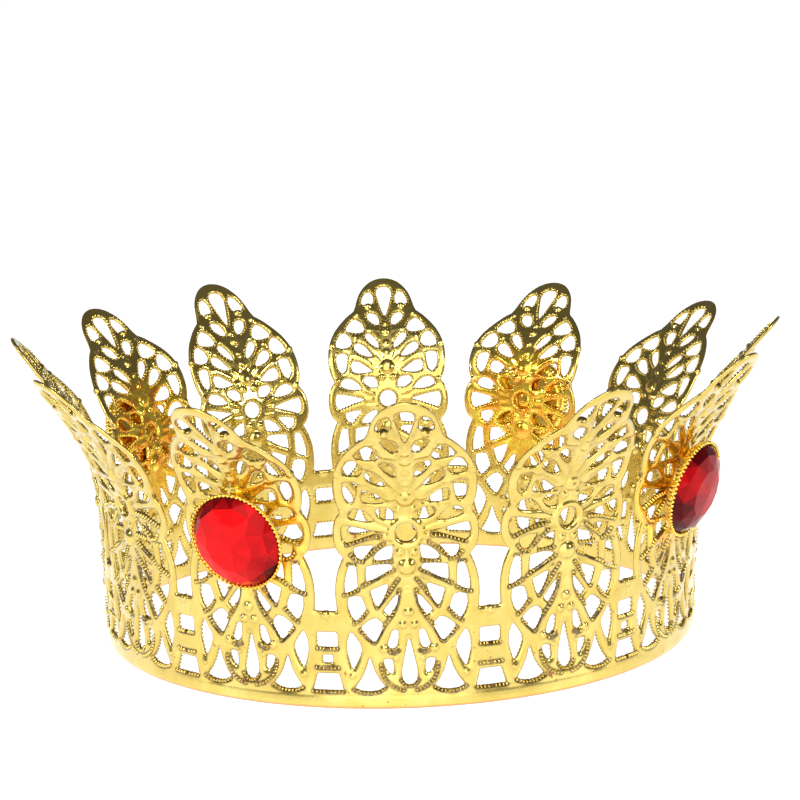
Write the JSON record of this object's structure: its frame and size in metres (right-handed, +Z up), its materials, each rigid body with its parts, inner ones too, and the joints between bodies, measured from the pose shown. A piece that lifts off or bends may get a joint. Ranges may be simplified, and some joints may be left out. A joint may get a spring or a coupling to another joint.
{
  "type": "crown",
  "caption": "Openwork gold crown of pierced leaf panels in a ring, with tips that curl outwards and round red faceted stones in milled cups.",
  "frame": {"origin": "middle of the crown's bounding box, in the plane of the bottom edge that it stands on; the ring's axis is 1.0 mm to -X and 2.4 mm to -Y of it", "axes": "+Z up, along the ring's axis; -Y to the front, where panel_01 faces; +X to the right"},
  "size_m": [0.2018, 0.2013, 0.0799],
  "materials": {
    "panel_gold": "pale gold plating, satin",
    "cup_gold": "bright gold plating, polished",
    "stone_red": "clear red acrylic with a foiled back, faceted"
  },
  "bodies": {
    "root": {"panel_01": "panel_gold", "panel_02": "panel_gold", "panel_03": "panel_gold", "panel_04": "panel_gold", "panel_05": "panel_gold", "panel_06": "panel_gold", "panel_07": "panel_gold", "panel_08": "panel_gold", "panel_09": "panel_gold", "panel_10": "panel_gold", "panel_11": "panel_gold", "panel_12": "panel_gold", "cup_1": "cup_gold", "cup_2": "cup_gold", "cup_3": "cup_gold", "cup_4": "cup_gold", "stone_1": "stone_red", "stone_2": "stone_red", "stone_3": "stone_red", "stone_4": "stone_red"}
  },
  "joints": []
}
